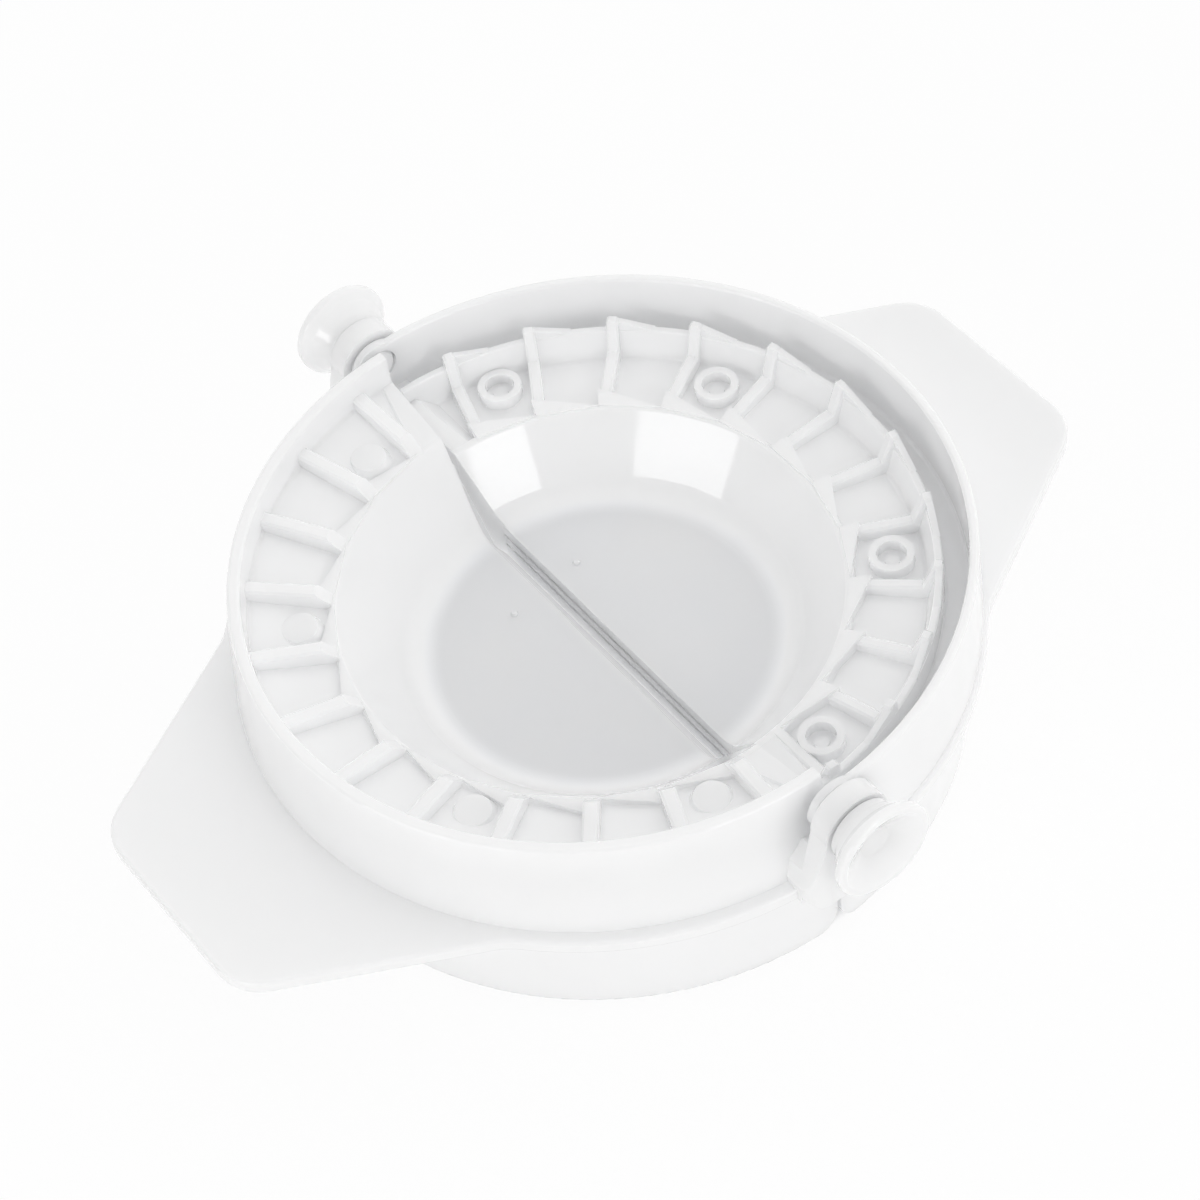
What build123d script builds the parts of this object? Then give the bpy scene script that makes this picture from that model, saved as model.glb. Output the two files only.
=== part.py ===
from build123d import *
import math
import os

os.makedirs("parts", exist_ok=True)

# Empanada press lying open. Millimetres, +Z up, Z = 0 is the table.
# The hinge axis runs along Y. The socket half lies on +X, the rib half on -X.

# driving sizes
RIM_OUT_R = 45.0            # outside of the rib half's rim
WALL = 1.4                  # nominal moulded wall
PLATE_TOP = 16.8            # top of the flange and wing plate
PLATE_T = 1.8
FLOOR_Z = 13.0              # bowl floor
AXIS_Z = 26.8               # hinge axis above the table
RIM_TOP = 31.0
FACE_GAP = 0.3              # each ring end stands this far from the hinge plane
PINCH_GAP = 0.35            # rib to ring wall when shut
PEAK_GAP = 0.4              # peak to pocket floor when shut
NEST_GAP = 1.3              # rim to guard wall when shut
RING_GAP = 0.4              # ring wall to rim when shut

# rim, flange and skirt of the rib half
RIM_T = 1.6
RIM_IN_R = RIM_OUT_R - RIM_T
RIM_FOOT_R = RIM_OUT_R + 1.6
SKIRT_TOP_R = RIM_FOOT_R
SKIRT_FOOT_R = SKIRT_TOP_R - 1.2
PLATE_R = SKIRT_TOP_R + 1.7
FOOT_CORNER = 3.5           # rounding of the skirt ends

# bowl
FLOOR_R = RIM_IN_R - 19.4
BOWL_RISE = 9.2             # bowl wall goes up this much ...
BOWL_RUN = 7.0              # ... over this much radius
BOWL_LEAN = BOWL_RUN / BOWL_RISE
BOWL_CORNER = 5.0           # soft corner between bowl wall and floor
SLOT_HALF = 1.5             # half the slot between the two bowls
LIP_FOOT = FLOOR_Z - 6.0    # underside of the stiffening lip beside the slot

# wing handle, in plan
WING_REACH = 17.4           # from the flange's edge to the wing's end
WING_END = PLATE_R + WING_REACH
WING_GAUGE = PLATE_R + 1.7  # the half width below is measured here
WING_HALF = 23.7
WING_ROOT = PLATE_R - 18.3  # the wing's outline starts here, inside the flange
WING_ANGLE = 28.8
WING_CORNER = 7.0
WING_BLEND = 9.0

# crimp ring: twelve cells to the half turn, a cell centred on the wing
CELL = 15.0
RIB_COUNT = 12

# rib half: land, pockets and rib crest from the inside out
A_LAND_Z = FLOOR_Z + 11.2
A_LAND_IN = round(FLOOR_R + (A_LAND_Z - FLOOR_Z) * BOWL_LEAN, 1)
A_LAND_R = (A_LAND_IN, A_LAND_IN + 0.8)
A_POCKET_Z = (A_LAND_Z - 0.4, A_LAND_Z + 2.2)
A_KNEE_R = A_LAND_R[1] + 1.5
A_CREST = ((A_LAND_R[0] + 0.1, A_LAND_Z), (A_KNEE_R, A_LAND_Z + 2.4), (RIM_IN_R + 0.2, A_LAND_Z + 4.0))
A_RIB_T = 2.0
A_RAMP = 0.7

# socket half: guard wall outside, groove for the rim, ring wall, pockets, land
GUARD_TOP = RIM_TOP - 0.9
GUARD_IN_R = RIM_OUT_R + NEST_GAP
GUARD_OUT_R = GUARD_IN_R + 1.2
GUARD_FOOT_R = GUARD_OUT_R + 0.2
GROOVE_Z = FLOOR_Z + 7.7
RING_OUT_R = RIM_IN_R - RING_GAP
RING_IN_R = RING_OUT_R - 1.0
RING_FOOT_R = RING_IN_R - 1.1
RING_TOP = 2 * AXIS_Z - A_CREST[2][1] - PINCH_GAP
B_LAND_Z = FLOOR_Z + 9.1
B_LAND_IN = round(FLOOR_R + (B_LAND_Z - FLOOR_Z) * BOWL_LEAN, 1)
B_LAND_R = (B_LAND_IN, B_LAND_IN + 1.1)
B_POCKET_Z = B_LAND_Z - 1.3
B_RIB_T = 1.6
B_PEAK_Z = 2 * AXIS_Z - A_POCKET_Z[1] - PEAK_GAP
B_CREST = ((B_LAND_R[0] + 0.3, B_LAND_Z), (RING_FOOT_R - 0.5, B_LAND_Z + 0.7),
           (RING_IN_R, B_PEAK_Z), (RING_OUT_R, B_PEAK_Z))
B_RAMP = 0.6
PEAK_RUN = 5.5              # each peak runs down along the ring over this length
B_PHASE = -0.9              # the socket half's ribs sit a little clockwise ...
B_SKEW = -8.0               # ... and lean over, so that each peak shuts beside a rib of the other half

# each cell's inner edge runs out from the land to a ramp beside the next rib
RAMP_REACH = 2.7

# filled ends of the crimp ring beside the hinge plane
END_FLAT = 1.3
END_REACH = 5.0
A_END = ((A_LAND_R[1] - 0.2, A_LAND_Z - 0.05), (RIM_IN_R + 0.6, A_POCKET_Z[1] + 0.4))
B_END = ((B_LAND_R[1] - 0.2, B_LAND_Z - 0.05), (RING_FOOT_R + 0.5, B_LAND_Z + 1.2))

# bosses in four cells of each half, (radius, angle)
BOSS_R = (B_LAND_R[1] + RING_FOOT_R) / 2 + 0.45
A_BOSSES = ((BOSS_R, -75.0), (BOSS_R, -30.0), (BOSS_R, 30.0), (BOSS_R, 75.0))
B_BOSSES = ((BOSS_R - 0.7, -79.0), (BOSS_R, -32.2), (BOSS_R + 0.2, 28.0), (BOSS_R + 1.4, 72.4))
BOSS_OUT = 2.9
BOSS_BORE = 1.9
BOSS_HIGH = 1.7

# hinge ends, measured out along Y from the middle
PIN_R = 2.4
PIN_RUN_CLEARANCE = 0.08    # radial, pin in the turning eye
EAR_GAP = 0.6               # eye to ear, along the pin
EYE_R = PIN_R + 1.3
EYE_Y = (GUARD_IN_R, GUARD_OUT_R - 0.1)
EAR_R = PIN_R + 2.2
EAR_Y = (EYE_Y[1] + EAR_GAP, EYE_Y[1] + EAR_GAP + 3.0)
EYE_CLEARANCE = 0.45
EAR_ROOT_X = 7.2            # width of the ear where it meets the flange
NECK_TOP = AXIS_Z - EYE_R - EYE_CLEARANCE
GROOVE_END_X = 3.4          # the groove is closed from the hinge plane to here
GROOVE_END_TOP = 2 * AXIS_Z - RIM_TOP - NEST_GAP / 2
HEAD_R = EAR_R + 2.1
HEAD_FACE = EAR_Y[1] + 5.0
HEAD_EDGE = 1.1
HEAD_DISH = 1.9


def section(points):
    """closed face in the XZ plane from (radius, height, corner radius) points"""
    n = len(points)
    ends = []
    for i in range(n):
        px, pz, rad = points[i]
        ax, az, _ = points[i - 1]
        bx, bz, _ = points[(i + 1) % n]
        la = math.hypot(ax - px, az - pz)
        lb = math.hypot(bx - px, bz - pz)
        ua = ((ax - px) / la, (az - pz) / la)
        ub = ((bx - px) / lb, (bz - pz) / lb)
        if rad <= 0:
            ends.append(((px, pz), None, (px, pz)))
            continue
        dot = max(-1.0, min(1.0, ua[0] * ub[0] + ua[1] * ub[1]))
        half = math.acos(dot) / 2
        cut = min(rad / math.tan(half), 0.49 * la, 0.49 * lb)
        real = cut * math.tan(half)
        first = (px + ua[0] * cut, pz + ua[1] * cut)
        last = (px + ub[0] * cut, pz + ub[1] * cut)
        mx, mz = ua[0] + ub[0], ua[1] + ub[1]
        ml = math.hypot(mx, mz)
        deep = real / math.sin(half) - real
        mid = (px + mx / ml * deep, pz + mz / ml * deep)
        ends.append((first, mid, last))
    edges = []
    for i in range(n):
        first, mid, last = ends[i]
        if mid is not None:
            edges.append(ThreePointArc(to3(first), to3(mid), to3(last)))
        nxt = ends[(i + 1) % n][0]
        if math.dist(last, nxt) > 1e-6:
            edges.append(Line(to3(last), to3(nxt)))
    return Face(Wire(edges))


def to3(p):
    return (p[0], 0, p[1])


def turned(points):
    return revolve(section(points), axis=Axis.Z, revolution_arc=360)


def flat_prism(points, y0, y1):
    """outline in X and Z pushed from y0 to y1"""
    wire = Wire([Line((points[i][0], y0, points[i][1]),
                      (points[(i + 1) % len(points)][0], y0, points[(i + 1) % len(points)][1]))
                 for i in range(len(points))])
    return extrude(Face(wire), amount=y1 - y0, dir=(0, 1, 0))


def block(x0, x1, y0, y1, z0, z1):
    return Pos((x0 + x1) / 2, (y0 + y1) / 2, (z0 + z1) / 2) * Box(x1 - x0, y1 - y0, z1 - z0)


def y_cylinder(radius, y0, y1, z=AXIS_Z, x=0.0):
    body = Cylinder(radius, y1 - y0, align=(Align.CENTER, Align.CENTER, Align.MIN))
    return Pos(x, y0, z) * Rot(-90, 0, 0) * body


def bowl_under(z):
    """radius of the bowl wall's underside at a height"""
    slope = math.hypot(BOWL_RISE, BOWL_RUN)
    r0 = FLOOR_R + WALL * BOWL_RISE / slope
    z0 = FLOOR_Z - WALL * BOWL_RUN / slope
    return r0 + (z - z0) * BOWL_RUN / BOWL_RISE


def bowl_top(z):
    return FLOOR_R + (z - FLOOR_Z) * BOWL_RUN / BOWL_RISE


def skirt_points(wall_out_r, wall_in_r):
    """outside of a half from the plate down and back up inside"""
    low = PLATE_TOP - PLATE_T
    return [
        (wall_out_r, PLATE_TOP - 0.3, 0),
        (SKIRT_TOP_R, low, 0),
        (SKIRT_FOOT_R, 0, 0.4),
        (SKIRT_FOOT_R - WALL, 0, 0.4),
        (SKIRT_TOP_R - WALL, low, 0.3),
        (wall_in_r, PLATE_TOP + 0.8, 0),
    ]


def rib_half_shell():
    under = A_POCKET_Z[0] - WALL
    pts = [
        (0, FLOOR_Z, 0),
        (FLOOR_R, FLOOR_Z, BOWL_CORNER),
        (bowl_top(A_LAND_Z), A_LAND_Z, 0.5),
        (A_LAND_R[1], A_LAND_Z, 0.25),
        (A_LAND_R[1] + 0.2, A_POCKET_Z[0], 0.2),
        (RIM_IN_R - 0.2, A_POCKET_Z[1], 0.6),
        (RIM_IN_R, RIM_TOP, 0.4),
        (RIM_OUT_R, RIM_TOP, 0.5),
    ]
    pts += skirt_points(RIM_FOOT_R, RIM_FOOT_R - WALL)
    pts += [
        (RIM_IN_R + 0.2, A_POCKET_Z[1] - WALL, 0.4),
        (A_LAND_R[1] + 0.6, under, 0),
        (bowl_under(under), under, 0),
        (bowl_under(FLOOR_Z - WALL), FLOOR_Z - WALL, BOWL_CORNER + WALL),
        (0, FLOOR_Z - WALL, 0),
    ]
    return turned(pts)


def socket_half_shell():
    under = GROOVE_Z - WALL
    pts = [
        (0, FLOOR_Z, 0),
        (FLOOR_R, FLOOR_Z, BOWL_CORNER),
        (bowl_top(B_LAND_Z), B_LAND_Z, 0.4),
        (B_LAND_R[1], B_LAND_Z, 0.25),
        (B_LAND_R[1] + 0.2, B_POCKET_Z, 0.2),
        (RING_FOOT_R, B_POCKET_Z, 0.6),
        (RING_IN_R, RING_TOP, 0.3),
        (RING_OUT_R, RING_TOP, 0.3),
        (RING_OUT_R, GROOVE_Z, 0.4),
        (GUARD_IN_R, GROOVE_Z, 0.5),
        (GUARD_IN_R, GUARD_TOP, 0.4),
        (GUARD_OUT_R, GUARD_TOP, 0.4),
    ]
    pts += skirt_points(GUARD_FOOT_R, GUARD_FOOT_R - WALL)
    pts += [
        (GUARD_FOOT_R - WALL, under, 0.5),
        (bowl_under(under), under, 0.5),
        (bowl_under(FLOOR_Z - WALL), FLOOR_Z - WALL, BOWL_CORNER + WALL),
        (0, FLOOR_Z - WALL, 0),
    ]
    return turned(pts)


def wing():
    """wing handle and the flange it grows from"""
    tan = math.tan(math.radians(WING_ANGLE))
    near = WING_HALF + (WING_GAUGE - WING_ROOT) * tan
    far = WING_HALF - (WING_END - WING_GAUGE) * tan
    with BuildSketch() as plan:
        Circle(PLATE_R)
        with BuildLine():
            Polyline((WING_ROOT, -near), (WING_END, -far), (WING_END, far), (WING_ROOT, near), close=True)
        make_face()
        tips = [v for v in plan.vertices() if v.X > WING_END - 0.1]
        fillet(tips, WING_CORNER)
        roots = [v for v in plan.vertices() if 0.5 * PLATE_R < v.X < 0.95 * PLATE_R
                 and abs(v.Y) > 0.4 * PLATE_R and abs(math.hypot(v.X, v.Y) - PLATE_R) < 0.01]
        fillet(roots, WING_BLEND)
    plate = extrude(plan.sketch, amount=PLATE_T)
    plate = Pos(0, 0, PLATE_TOP - PLATE_T) * plate
    plate = fillet([e for e in plate.edges() if abs(e.center().Z - PLATE_TOP) < 0.01], 0.5)
    plate = fillet([e for e in plate.edges() if abs(e.center().Z - PLATE_TOP + PLATE_T) < 0.01], 0.3)
    hole = Pos(0, 0, PLATE_TOP - PLATE_T - 1) * Cylinder(
        SKIRT_TOP_R - 0.6, PLATE_T + 2, align=(Align.CENTER, Align.CENTER, Align.MIN))
    return plate - hole


def rib(crest, roots, thick):
    """one upright rib in the plane Y = 0, with its feet sunk into the pocket floor"""
    pts = list(crest) + [(crest[-1][0], roots[1]), (crest[0][0], roots[0])]
    body = flat_prism(pts, -thick / 2, thick / 2)
    top = [e for e in body.edges()
           if abs(abs(e.center().Y) - thick / 2) < 0.01
           and abs(e.tangent_at(0.5).Y) < 0.1 and abs(e.tangent_at(0.5).X) > 0.2
           and e.center().Z > max(roots) + 0.3]
    return chamfer(top, 0.3)


def ramp(land, rise, floor_z):
    """wedge in the corner between the land and the clockwise side of a rib"""
    half = math.radians(CELL) / 2
    r0 = land[1] - 0.5
    out = r0 + RAMP_REACH
    low = floor_z - 0.6
    top = land_top(land, rise, out)
    wide = 2 * half * r0
    a0 = (r0 * math.cos(half), -wide / 2, low)
    a1 = (r0 * math.cos(half), wide / 2, low)
    a2 = (out * math.cos(half), out * math.sin(half), low)
    base = Face(Wire([Line(a0, a2), Line(a2, a1), Line(a1, a0)]))
    wedge = extrude(base, amount=top - low, dir=(0, 0, 1))
    cone = section([(r0 - 2.5, low - 1, 0), (out + 1, low - 1, 0),
                    (out + 1, land_top(land, rise, out + 1), 0), (r0 - 2.5, land[2], 0)])
    return wedge & revolve(cone, axis=Axis.Z, revolution_arc=360)


def land_top(land, rise, radius):
    return land[2] + rise * max(0.0, radius - land[1]) / RAMP_REACH


def rib_angles():
    return [(i - (RIB_COUNT - 1) / 2) * CELL for i in range(RIB_COUNT)]


def lip():
    """stiffener along the straight edge of the bowl, up to the hinge plane before the slot is cut"""
    y_edge = bowl_top(B_LAND_Z) - 0.3
    z_edge = B_LAND_Z - 0.4
    pts = [
        (-y_edge, z_edge), (-FLOOR_R - 1.0, FLOOR_Z + 0.5), (-FLOOR_R + 1.5, FLOOR_Z - 0.4),
        (FLOOR_R - 1.5, FLOOR_Z - 0.4), (FLOOR_R + 1.0, FLOOR_Z + 0.5), (y_edge, z_edge),
        (y_edge + 1.2, z_edge - 2.4), (FLOOR_R + 2.5, LIP_FOOT), (-FLOOR_R - 2.5, LIP_FOOT),
        (-y_edge - 1.2, z_edge - 2.4),
    ]
    wire = Wire([Line((FACE_GAP, pts[i][0], pts[i][1]),
                      (FACE_GAP, pts[(i + 1) % len(pts)][0], pts[(i + 1) % len(pts)][1]))
                 for i in range(len(pts))])
    return extrude(Face(wire), amount=SLOT_HALF + WALL - FACE_GAP, dir=(1, 0, 0))


def lip_steps():
    """two shallow steps along the lip's face"""
    out = []
    for z in (FLOOR_Z - 1.9, FLOOR_Z - 3.7):
        out.append(block(SLOT_HALF - 0.1, SLOT_HALF + 0.35, -FLOOR_R, FLOOR_R, z - 0.35, z + 0.35))
    return out


def half_space():
    return block(FACE_GAP, WING_END + 10, -PLATE_R - 10, PLATE_R + 10, -1, RIM_TOP + 9)


def slot_tool(land_r):
    """the slot, full width beside the floor and closing up the bowl wall to the land"""
    pts = [
        (-1, -land_r), (FACE_GAP, -land_r), (SLOT_HALF, -FLOOR_R), (SLOT_HALF, FLOOR_R),
        (FACE_GAP, land_r), (-1, land_r),
    ]
    wire = Wire([Line((*pts[i], -1), (*pts[(i + 1) % len(pts)], -1)) for i in range(len(pts))])
    return extrude(Face(wire), amount=RIM_TOP + 10, dir=(0, 0, 1))


def foot_rounds():
    """cutters that round the bottom corners of the skirt at the hinge plane"""
    c = FOOT_CORNER
    far = PLATE_R + 4
    edge = block(FACE_GAP - 0.5, FACE_GAP + c, -far, far, -0.5, c)
    return edge - y_cylinder(c, -far - 1, far + 1, z=c, x=FACE_GAP + c)


def socket_boss():
    """short open tube standing in a pocket of the socket half"""
    body = Pos(0, 0, B_POCKET_Z - 0.5) * Cylinder(
        BOSS_OUT, BOSS_HIGH + 0.5, align=(Align.CENTER, Align.CENTER, Align.MIN))
    hole = Pos(0, 0, B_POCKET_Z) * Cylinder(
        BOSS_BORE, BOSS_HIGH + 1, align=(Align.CENTER, Align.CENTER, Align.MIN))
    pip = Pos(0, 0, B_POCKET_Z - 0.5) * Cylinder(
        1.0, 0.9, align=(Align.CENTER, Align.CENTER, Align.MIN))
    return body - hole + pip


def rib_boss():
    """low round pad in a pocket of the rib half"""
    slope = (A_POCKET_Z[1] - A_POCKET_Z[0]) / (RIM_IN_R - A_LAND_R[1])
    top = A_POCKET_Z[0] + slope * (BOSS_R - A_LAND_R[1]) + 0.6
    return Pos(0, 0, top - 1.5) * Cone(
        BOSS_OUT + 0.2, BOSS_OUT - 0.6, 1.5, align=(Align.CENTER, Align.CENTER, Align.MIN))


def gate_mark(x, y):
    return Pos(x, y, FLOOR_Z - 0.2) * Cone(
        0.6, 0.35, 0.6, align=(Align.CENTER, Align.CENTER, Align.MIN))


def ring_end(inner, outer, floors):
    """filled ends of the crimp ring, level beside the hinge plane and falling to the first pocket"""
    low = [z - 0.7 for z in floors]
    top = outer[1]
    wedge = flat_prism([
        (FACE_GAP, low[0] - 1), (FACE_GAP, top), (FACE_GAP + END_FLAT, top),
        (END_REACH, low[0]), (END_REACH, low[0] - 1),
    ], -outer[0], outer[0])
    ring = turned([
        (inner[0], low[0], 0), (outer[0], low[1], 0), (outer[0], top, 0), (inner[0], inner[1], 0),
    ])
    return wedge & ring


def ear():
    """bearing ear of the rib half, outside the socket half's wall, at +Y"""
    low = PLATE_TOP - PLATE_T
    plate = y_cylinder(EAR_R, EAR_Y[0], EAR_Y[1])
    foot = (EAR_ROOT_X, low + 2.8)
    top = (EAR_R + 0.35, AXIS_Z - 1.2)
    neck_z = NECK_TOP - 2.2
    neck_x = foot[0] + (top[0] - foot[0]) * (neck_z - foot[1]) / (top[1] - foot[1])
    web = [
        (1.7, low), (EAR_ROOT_X - 1.2, low), (EAR_ROOT_X, low + 1.2), foot, top,
        (EAR_R, AXIS_Z), (0, AXIS_Z), (1.7, AXIS_Z - 4.1),
    ]
    plate += flat_prism(web, EAR_Y[0], EAR_Y[1])
    neck = flat_prism([
        (1.7, low), (EAR_ROOT_X, low), foot, (neck_x, neck_z), (EAR_R - 0.3, NECK_TOP), (1.7, NECK_TOP),
    ], RIM_IN_R, EAR_Y[0] + 0.5)
    neck -= Pos(0, 0, low - 5) * Cylinder(RIM_FOOT_R - 0.9, 20,
                                     align=(Align.CENTER, Align.CENTER, Align.MIN))
    body = plate + neck
    plan = block(-EAR_R - 1, EAR_ROOT_X, EAR_Y[0] - 8, EAR_Y[1], low - 5, AXIS_Z + 13)
    corner = [e for e in plan.edges() if e.center().X > EAR_ROOT_X - 1 and e.center().Y > EAR_Y[1] - 0.1
              and abs(e.tangent_at(0.5).Z) > 0.9]
    plan = fillet(corner, 2.6)
    return body & plan


def mirrored_ends(shape):
    return [shape, mirror(shape, about=Plane.XZ)]


def add_ribs(body, crest, roots, thick, phase=0.0, skew=0.0):
    first = rib(crest, roots, thick)
    foot = crest[0][0]
    first = Pos(foot, 0, 0) * Rot(0, 0, skew) * Pos(-foot, 0, 0) * first
    for a in rib_angles():
        body += Rot(0, 0, a + phase) * first
    return body


def add_ramps(body, land, rise, floor_z):
    first = ramp(land, rise, floor_z)
    for a in rib_angles()[1:]:
        body += Rot(0, 0, a - CELL / 2) * first
    return body


def add_peak_webs(body):
    """webs that run down from each peak along the top of the ring wall"""
    mid_r = (RING_IN_R + RING_OUT_R) / 2
    half = (RING_OUT_R - RING_IN_R) / 2 - 0.06
    low = RING_TOP - 0.8
    pts = [(0, low), (PEAK_RUN, low), (PEAK_RUN, RING_TOP - 0.02), (0, B_PEAK_Z - 0.1)]
    wire = Wire([Line((mid_r - half, -pts[i][0], pts[i][1]),
                      (mid_r - half, -pts[(i + 1) % 4][0], pts[(i + 1) % 4][1])) for i in range(4)])
    web = extrude(Face(wire), amount=2 * half, dir=(1, 0, 0))
    reach = mid_r - B_CREST[0][0]
    drift = math.degrees(reach * math.sin(math.radians(B_SKEW)) / mid_r) + B_PHASE
    swing = math.degrees(PEAK_RUN / 2 / mid_r) - drift
    for a in rib_angles()[1:]:
        body += Rot(0, 0, a - swing) * Pos(0, PEAK_RUN / 2, 0) * web
    return body


def make_rib_half():
    body = rib_half_shell() & half_space()
    body += wing() & half_space()
    body += ring_end(*A_END, A_POCKET_Z)
    body = add_ribs(body, A_CREST, (A_POCKET_Z[0] - 0.6, A_POCKET_Z[1] - 0.6), A_RIB_T)
    body = add_ramps(body, (*A_LAND_R, A_LAND_Z), A_RAMP, A_POCKET_Z[0])
    body += lip()
    body -= slot_tool(A_LAND_R[0])
    for cut in lip_steps():
        body -= cut
    for r, a in A_BOSSES:
        body += Rot(0, 0, a) * Pos(r, 0, 0) * rib_boss()
    body += gate_mark(6.1, -11.1)
    for end in mirrored_ends(y_cylinder(EYE_R + EYE_CLEARANCE, EYE_Y[0] - 0.35, EAR_Y[0] + 0.02)):
        body -= end
    for end in mirrored_ends(ear()):
        body += end
    body -= foot_rounds()
    for end in mirrored_ends(y_cylinder(PIN_R, EAR_Y[0] - 1, EAR_Y[1] + 1)):
        body -= end
    return Rot(0, 0, 180) * body


def make_socket_half():
    body = socket_half_shell() & half_space()
    body += wing() & half_space()
    body += ring_end(*B_END, (B_POCKET_Z, B_POCKET_Z))
    body = add_ribs(body, B_CREST, (B_POCKET_Z - 0.6, B_POCKET_Z - 0.6), B_RIB_T,
                    B_PHASE, B_SKEW)
    body = add_ramps(body, (*B_LAND_R, B_LAND_Z), B_RAMP, B_POCKET_Z)
    body = add_peak_webs(body)
    for end in mirrored_ends(block(FACE_GAP, GROOVE_END_X, RING_OUT_R - 0.5, GUARD_IN_R + 0.3,
                                   GROOVE_Z - WALL, GROOVE_END_TOP)):
        body += end
    body += lip()
    body -= slot_tool(B_LAND_R[0])
    for cut in lip_steps():
        body -= cut
    for r, a in B_BOSSES:
        body += Rot(0, 0, a) * Pos(r, 0, 0) * socket_boss()
    body += gate_mark(4.9, 12.5)
    for end in mirrored_ends(y_cylinder(EYE_R, EYE_Y[0], EYE_Y[1])):
        body += end
    body -= foot_rounds()
    for end in mirrored_ends(y_cylinder(PIN_R + PIN_RUN_CLEARANCE, EYE_Y[0] - 1, EYE_Y[1] + 1)):
        body -= end
    return body


def make_pin():
    """mushroom-headed hinge pin at +Y: plain shank, flared dished head"""
    y0 = EYE_Y[0]
    pts = [
        (0, y0, 0), (PIN_R - 0.3, y0, 0), (PIN_R, y0 + 0.5, 0), (PIN_R, EAR_Y[1] + 0.1, 0),
        (EAR_R - 0.3, EAR_Y[1] + 0.3, 0.3), (EAR_R - 0.2, EAR_Y[1] + 1.2, 1.5),
        (HEAD_R - 1.1, HEAD_FACE - 2.1, 1.0),
        (HEAD_R - 0.1, HEAD_FACE - HEAD_EDGE, 0.4), (HEAD_R, HEAD_FACE, 0.4),
        (HEAD_R - 1.0, HEAD_FACE, 0.3), (2.2, HEAD_FACE - HEAD_DISH, 0.8), (0, HEAD_FACE - HEAD_DISH, 0),
    ]
    body = turned(pts)
    return Pos(0, 0, AXIS_Z) * Rot(-90, 0, 0) * body


parts = {
    "rib_half": make_rib_half(),
    "socket_half": make_socket_half(),
}
far_pin = make_pin()
parts["hinge_pin_far"] = far_pin
parts["hinge_pin_near"] = mirror(far_pin, about=Plane.XZ)

for name, shape in parts.items():
    export_step(shape, f"parts/{name}.step")
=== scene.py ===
import bpy
import bmesh
import math
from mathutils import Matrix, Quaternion, Vector

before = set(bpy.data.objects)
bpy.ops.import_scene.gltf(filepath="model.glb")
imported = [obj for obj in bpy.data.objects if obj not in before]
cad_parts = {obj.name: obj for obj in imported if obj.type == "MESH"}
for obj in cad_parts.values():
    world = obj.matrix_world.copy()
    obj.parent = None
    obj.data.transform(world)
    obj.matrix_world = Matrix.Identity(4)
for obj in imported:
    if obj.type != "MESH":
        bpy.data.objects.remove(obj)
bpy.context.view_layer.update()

mm = 0.001


# colours are written as sRGB hex and turned to linear here
def linear(hexColour, alpha=1.0):
    out = []
    for i in (1, 3, 5):
        c = int(hexColour[i:i + 2], 16) / 255
        out.append(c / 12.92 if c <= 0.04045 else ((c + 0.055) / 1.055) ** 2.4)
    return (*out, alpha)


# adds one node, sets its properties and input values, and links its inputs
def addNode(tree, kind, props=None, values=None, links=None):
    node = tree.nodes.new(kind)
    for key, value in (props or {}).items():
        setattr(node, key, value)
    for key, value in (values or {}).items():
        node.inputs[key].default_value = value
    for key, source in (links or {}).items():
        tree.links.new(source, node.inputs[key])
    return node


def freshMaterial(name):
    material = bpy.data.materials.new(name)
    material.use_nodes = True
    material.node_tree.nodes.clear()
    return material, material.node_tree


def dress(objectName, material):
    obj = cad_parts[objectName]
    for slotIndex in range(max(1, len(obj.material_slots))):
        if slotIndex >= len(obj.material_slots):
            obj.data.materials.append(material)
        else:
            obj.material_slots[slotIndex].material = material


# natural polypropylene, injection moulded in a polished tool: milky, light spreads inside it,
# sharp highlights on the flat faces and a faint cloudiness where the melt flowed
polypropylene = {
    "colour": "#FFFFFF",
    "cloudColour": "#FAFBFD",
    "ior": 1.49,
    "roughness": 0.5,
    "roughnessSpread": 0.05,
    "skinRoughness": 0.07,
    "scatterWeight": 1.0,
    "scatterRadius": 1.5 * mm,
    "floorPaintedShade": "#E6E6E6",   # painted shade: the bowl's thin floor is coloured darker, standing in for the shade under it
    "floorRadius": 22.5 * mm,
    "floorEdge": 2 * mm,        # the painted shade fades this far to each side of the radius
    "cloudSize": 14 * mm,       # flow clouds, across
    "grainSize": 0.9 * mm,      # moulded skin, drawn coarser than the real 0.1 mm
    "grainDepth": 0.012 * mm,
    "grainStrength": 0.35,
}


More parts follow.
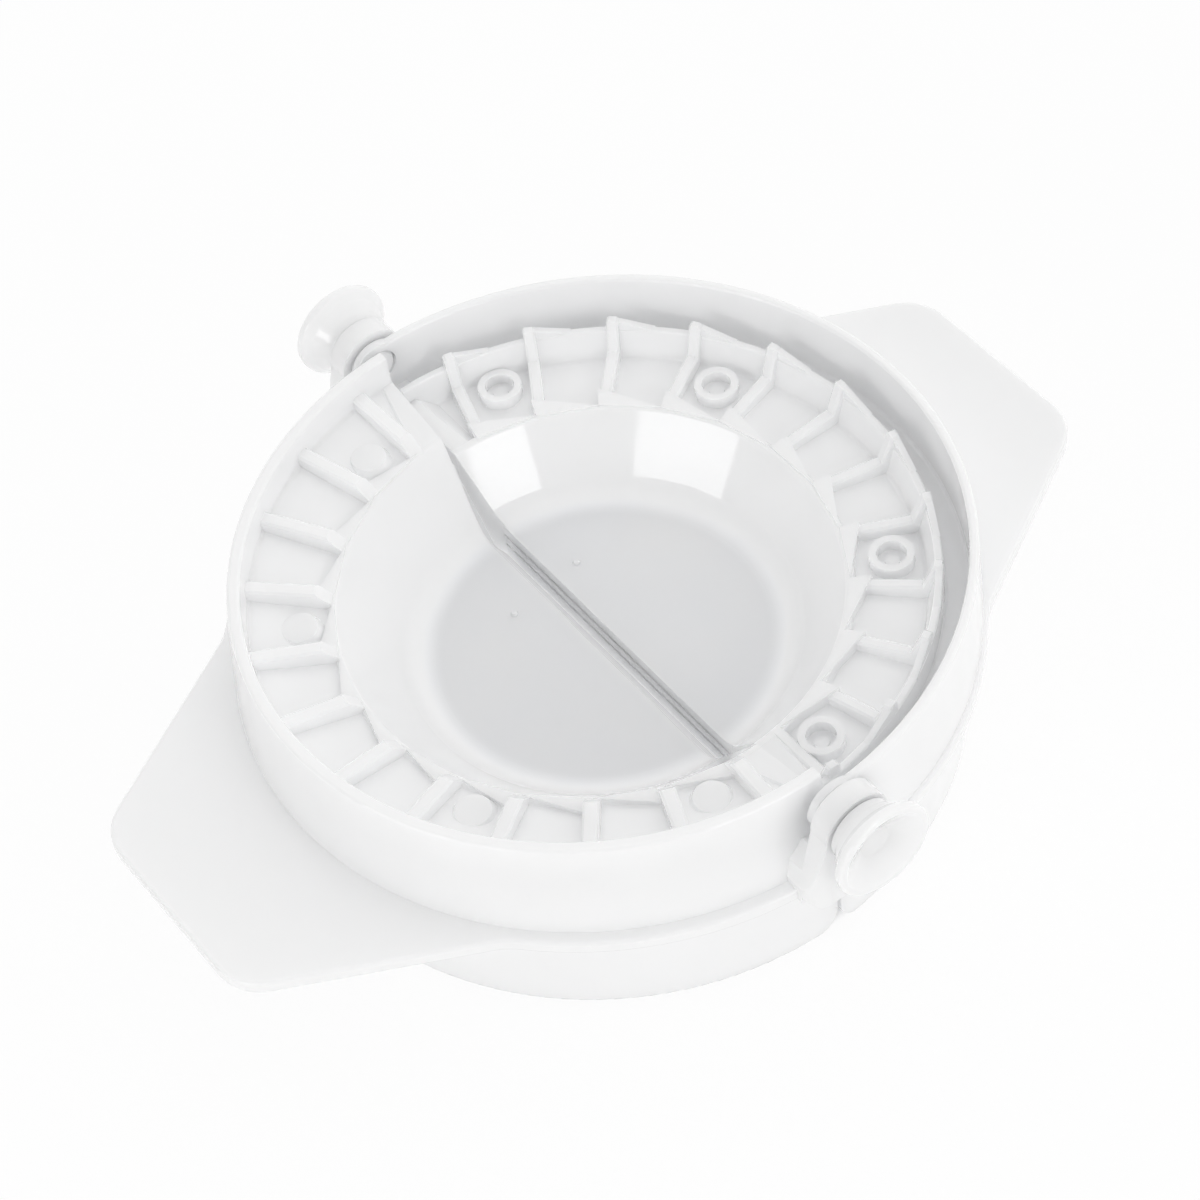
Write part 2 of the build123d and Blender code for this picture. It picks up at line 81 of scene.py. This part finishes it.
def makePolypropylene(name, **changes):
    spec = {**polypropylene, **changes}
    material, tree = freshMaterial(name)
    place = addNode(tree, "ShaderNodeTexCoord")
    cloud = addNode(tree, "ShaderNodeTexNoise",
                    values={"Scale": 1 / spec["cloudSize"], "Detail": 3.0, "Roughness": 0.55},
                    links={"Vector": place.outputs["Object"]})
    grain = addNode(tree, "ShaderNodeTexNoise",
                    values={"Scale": 1 / spec["grainSize"], "Detail": 2.0, "Roughness": 0.5},
                    links={"Vector": place.outputs["Object"]})
    tint = addNode(tree, "ShaderNodeMix", props={"data_type": "RGBA"},
                   links={0: cloud.outputs["Fac"]})
    tint.inputs[6].default_value = linear(spec["colour"])
    tint.inputs[7].default_value = linear(spec["cloudColour"])
    flat = addNode(tree, "ShaderNodeVectorMath", props={"operation": "MULTIPLY"},
                   values={1: (1.0, 1.0, 0.0)}, links={0: place.outputs["Object"]})
    # painted shade: inside floorRadius the colour is multiplied darker by the floor shade colour,
    # standing in for the shade under the thin bowl floor
    reach = addNode(tree, "ShaderNodeVectorMath", props={"operation": "LENGTH"},
                    links={0: flat.outputs["Vector"]})
    floor = addNode(tree, "ShaderNodeMapRange", props={"interpolation_type": "SMOOTHSTEP"},
                    values={"From Min": spec["floorRadius"] - spec["floorEdge"],
                            "From Max": spec["floorRadius"] + spec["floorEdge"],
                            "To Min": 1.0, "To Max": 0.0},
                    links={"Value": reach.outputs["Value"]})
    shade = addNode(tree, "ShaderNodeMix", props={"data_type": "RGBA", "blend_type": "MULTIPLY"},
                    links={0: floor.outputs["Result"], 6: tint.outputs[2]})
    shade.inputs[7].default_value = linear(spec["floorPaintedShade"])
    rough = addNode(tree, "ShaderNodeMapRange",
                    values={"To Min": spec["roughness"] - spec["roughnessSpread"],
                            "To Max": spec["roughness"] + spec["roughnessSpread"]},
                    links={"Value": cloud.outputs["Fac"]})
    bump = addNode(tree, "ShaderNodeBump",
                   values={"Strength": spec["grainStrength"], "Distance": spec["grainDepth"]},
                   links={"Height": grain.outputs["Fac"]})
    shader = addNode(tree, "ShaderNodeBsdfPrincipled",
                     values={"IOR": spec["ior"],
                             "Subsurface Weight": spec["scatterWeight"],
                             "Subsurface Radius": (1.0, 1.0, 1.0),
                             "Subsurface Scale": spec["scatterRadius"],
                             "Coat Weight": 1.0,
                             "Coat Roughness": spec["skinRoughness"],
                             "Coat IOR": spec["ior"]},
                     links={"Base Color": shade.outputs[2],
                            "Roughness": rough.outputs["Result"],
                            "Normal": bump.outputs["Normal"]})
    addNode(tree, "ShaderNodeOutputMaterial", links={"Surface": shader.outputs["BSDF"]})
    return material


halfPlastic = makePolypropylene("naturalPolypropyleneMoulding")
pinPlastic = makePolypropylene("naturalPolypropylenePin", cloudSize=6 * mm)
dress("rib_half", halfPlastic)
dress("socket_half", halfPlastic)
dress("hinge_pin_far", pinPlastic)
dress("hinge_pin_near", pinPlastic)
print("materials on the four mouldings")


# a white table, which the camera sees nearly plain white and which catches the object's shadow
table = {
    "size": 6.0,
    "drop": 0.05 * mm,
    "colour": "#FFFFFF",
    "whiteShare": 0.9,          # how much of what the camera sees is plain white
    "shadedRadius": 44 * mm,    # inside this circle, under the press, the table shows as it is lit
    "shadedEdge": 1 * mm,
    "paintedGlowUnderPress": 0.5,        # painted glow: under the press the table emits light, standing in for the light that comes down through the thin walls
    "paintedGlowSeen": 0.2,         # the share of that painted glow that is seen straight
}


def makeTable():
    mesh = bpy.data.meshes.new("tableTop")
    form = bmesh.new()
    bmesh.ops.create_grid(form, x_segments=2, y_segments=2, size=table["size"] / 2)
    bmesh.ops.translate(form, verts=form.verts, vec=(0, 0, -table["drop"]))
    form.to_mesh(mesh)
    form.free()
    top = bpy.data.objects.new("tableTop", mesh)
    bpy.context.scene.collection.objects.link(top)
    material, tree = freshMaterial("whiteTable")
    path = addNode(tree, "ShaderNodeLightPath")
    seen = addNode(tree, "ShaderNodeMath", props={"operation": "MAXIMUM"},
                   links={0: path.outputs["Is Camera Ray"], 1: path.outputs["Is Glossy Ray"]})
    place = addNode(tree, "ShaderNodeTexCoord")
    reach = addNode(tree, "ShaderNodeVectorMath", props={"operation": "LENGTH"},
                    links={0: place.outputs["Object"]})
    shadedEnd = table["shadedRadius"] + table["shadedEdge"]
    openTable = addNode(tree, "ShaderNodeMapRange",
                    values={"From Min": table["shadedRadius"], "From Max": shadedEnd,
                            "To Min": 0.0, "To Max": table["whiteShare"]},
                    links={"Value": reach.outputs["Value"]})
    share = addNode(tree, "ShaderNodeMath", props={"operation": "MULTIPLY"},
                    links={0: seen.outputs[0], 1: openTable.outputs["Result"]})
    diffuse = addNode(tree, "ShaderNodeBsdfDiffuse", values={"Color": linear(table["colour"])})
    white = addNode(tree, "ShaderNodeEmission", values={"Color": (1, 1, 1, 1), "Strength": 1.0})
    mixed = addNode(tree, "ShaderNodeMixShader",
                    links={0: share.outputs[0], 1: diffuse.outputs[0], 2: white.outputs[0]})
    # painted glow: inside shadedRadius the table emits light, and the camera sees only part of it
    through = addNode(tree, "ShaderNodeMapRange",
                      values={"From Min": table["shadedRadius"], "From Max": shadedEnd,
                              "To Min": table["paintedGlowUnderPress"], "To Max": 0.0},
                      links={"Value": reach.outputs["Value"]})
    straight = addNode(tree, "ShaderNodeMapRange",
                       values={"To Min": 1.0, "To Max": table["paintedGlowSeen"]},
                       links={"Value": seen.outputs[0]})
    glowing = addNode(tree, "ShaderNodeMath", props={"operation": "MULTIPLY"},
                      links={0: through.outputs["Result"], 1: straight.outputs["Result"]})
    glow = addNode(tree, "ShaderNodeEmission", values={"Color": (1, 1, 1, 1)},
                   links={"Strength": glowing.outputs[0]})
    both = addNode(tree, "ShaderNodeAddShader", links={0: mixed.outputs[0], 1: glow.outputs[0]})
    addNode(tree, "ShaderNodeOutputMaterial", links={"Surface": both.outputs[0]})
    mesh.materials.append(material)


makeTable()
print("table")


# soft studio light: two windows near the table, in a white room
# bearing is measured in the table plane from +X towards +Y
windows = {
    "frontWindow": {"bearing": -89, "height": 21, "away": 0.9, "wide": 0.36, "tall": 0.27, "watts": 1.1},
    "leftWindow": {"bearing": -170, "height": 20, "away": 0.9, "wide": 0.66, "tall": 0.27, "watts": 1.85},
}
# the room is brightest towards the far right and dims evenly to the opposite side
roomLight = {"brightWay": (0.90, 0.30, 0.32), "middle": 0.69, "swing": 0.44}


def makeWindow(name, spec):
    bearing = math.radians(spec["bearing"])
    height = math.radians(spec["height"])
    way = Vector((math.cos(bearing) * math.cos(height), math.sin(bearing) * math.cos(height),
                  math.sin(height)))
    lamp = bpy.data.lights.new(name, "AREA")
    lamp.shape = "RECTANGLE"
    lamp.size = spec["wide"]
    lamp.size_y = spec["tall"]
    lamp.energy = spec["watts"]
    holder = bpy.data.objects.new(name, lamp)
    holder.location = way * spec["away"]
    holder.rotation_mode = "QUATERNION"
    holder.rotation_quaternion = (-way).to_track_quat("-Z", "Y")
    bpy.context.scene.collection.objects.link(holder)


for windowName, windowSpec in windows.items():
    makeWindow(windowName, windowSpec)


# the camera sees the room plain white
def makeRoom():
    room = bpy.data.worlds.new("whiteRoom")
    room.use_nodes = True
    tree = room.node_tree
    tree.nodes.clear()
    path = addNode(tree, "ShaderNodeLightPath")
    place = addNode(tree, "ShaderNodeTexCoord")
    way = addNode(tree, "ShaderNodeVectorMath", props={"operation": "DOT_PRODUCT"},
                  values={1: roomLight["brightWay"]}, links={0: place.outputs["Generated"]})
    level = addNode(tree, "ShaderNodeMath", props={"operation": "MULTIPLY_ADD"},
                    values={1: roomLight["swing"], 2: roomLight["middle"]},
                    links={0: way.outputs["Value"]})
    lit = addNode(tree, "ShaderNodeBackground", values={"Color": linear("#FFFFFF")},
                  links={"Strength": level.outputs[0]})
    white = addNode(tree, "ShaderNodeBackground", values={"Color": linear("#FFFFFF"), "Strength": 1.0})
    mixed = addNode(tree, "ShaderNodeMixShader",
                    links={0: path.outputs["Is Camera Ray"], 1: lit.outputs[0], 2: white.outputs[0]})
    addNode(tree, "ShaderNodeOutputWorld", links={"Surface": mixed.outputs[0]})
    bpy.context.scene.world = room


makeRoom()
print("lights")


# camera: held above the rib half's left end, tipped a little to the right
cameraSpec = {
    "place": (-0.1382, -0.2441, 0.3639),
    "lookAt": (0.0087, 0.0148, 0.0),
    "roll": -9.75,
    "lens": 106.7,
    "sensorWidth": 36,
    "nearClip": 0.01,
    "farClip": 20,
}


def makeCamera():
    data = bpy.data.cameras.new("productCamera")
    data.sensor_width = cameraSpec["sensorWidth"]
    data.lens = cameraSpec["lens"]
    data.clip_start = cameraSpec["nearClip"]
    data.clip_end = cameraSpec["farClip"]
    camera = bpy.data.objects.new("productCamera", data)
    camera.location = cameraSpec["place"]
    sight = Vector(cameraSpec["lookAt"]) - Vector(cameraSpec["place"])
    camera.rotation_mode = "QUATERNION"
    camera.rotation_quaternion = (sight.to_track_quat("-Z", "Y")
                                  @ Quaternion((0, 0, 1), math.radians(cameraSpec["roll"])))
    bpy.context.scene.collection.objects.link(camera)
    bpy.context.scene.camera = camera


makeCamera()
bpy.context.scene.view_settings.view_transform = "Standard"
print("camera")
